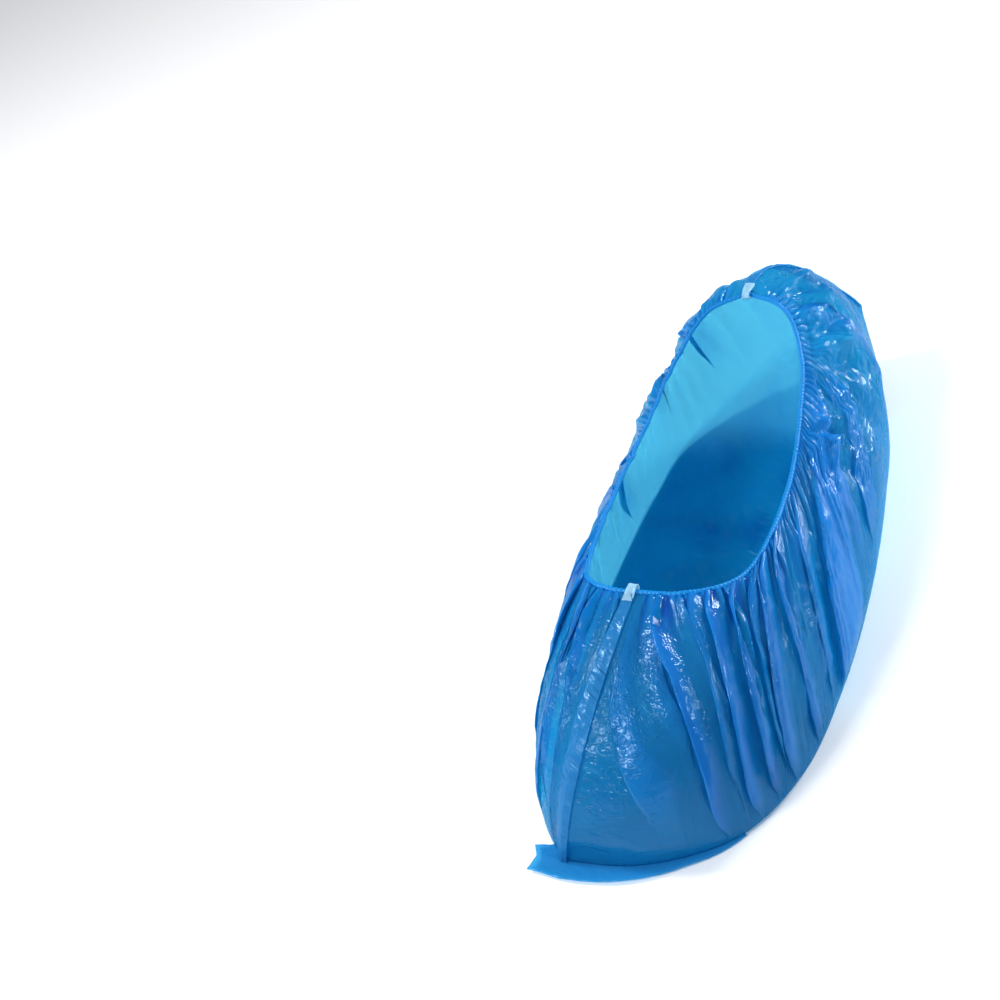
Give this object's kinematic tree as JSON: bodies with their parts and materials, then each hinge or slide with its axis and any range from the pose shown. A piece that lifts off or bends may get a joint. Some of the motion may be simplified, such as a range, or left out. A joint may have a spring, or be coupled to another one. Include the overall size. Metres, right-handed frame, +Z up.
{
  "type": "disposable shoe cover",
  "caption": "Pull-on shoe cover of thin translucent blue film, gathered by elastic round its opening, with welded seams at toe and heel.",
  "frame": {"origin": "inner face of the film under the foot, where the wearer's sole stands, in line with the middle of the opening", "axes": "+X to the wearer's right, +Y from the toe to the heel, +Z up out of the opening"},
  "size_m": [0.1311, 0.3304, 0.0901],
  "materials": {
    "blue_film": "thin translucent blue polyethylene film with a fine embossed grain, crinkled, with soft sharp-edged glints",
    "elastic_edge": "film gathered tightly over a narrow elastic, satin",
    "welded_film": "several layers of the same film, heat welded flat"
  },
  "bodies": {
    "root": {"film_body": "blue_film", "elastic_rim": "elastic_edge", "toe_seam": "welded_film", "heel_seam": "welded_film"}
  },
  "joints": []
}
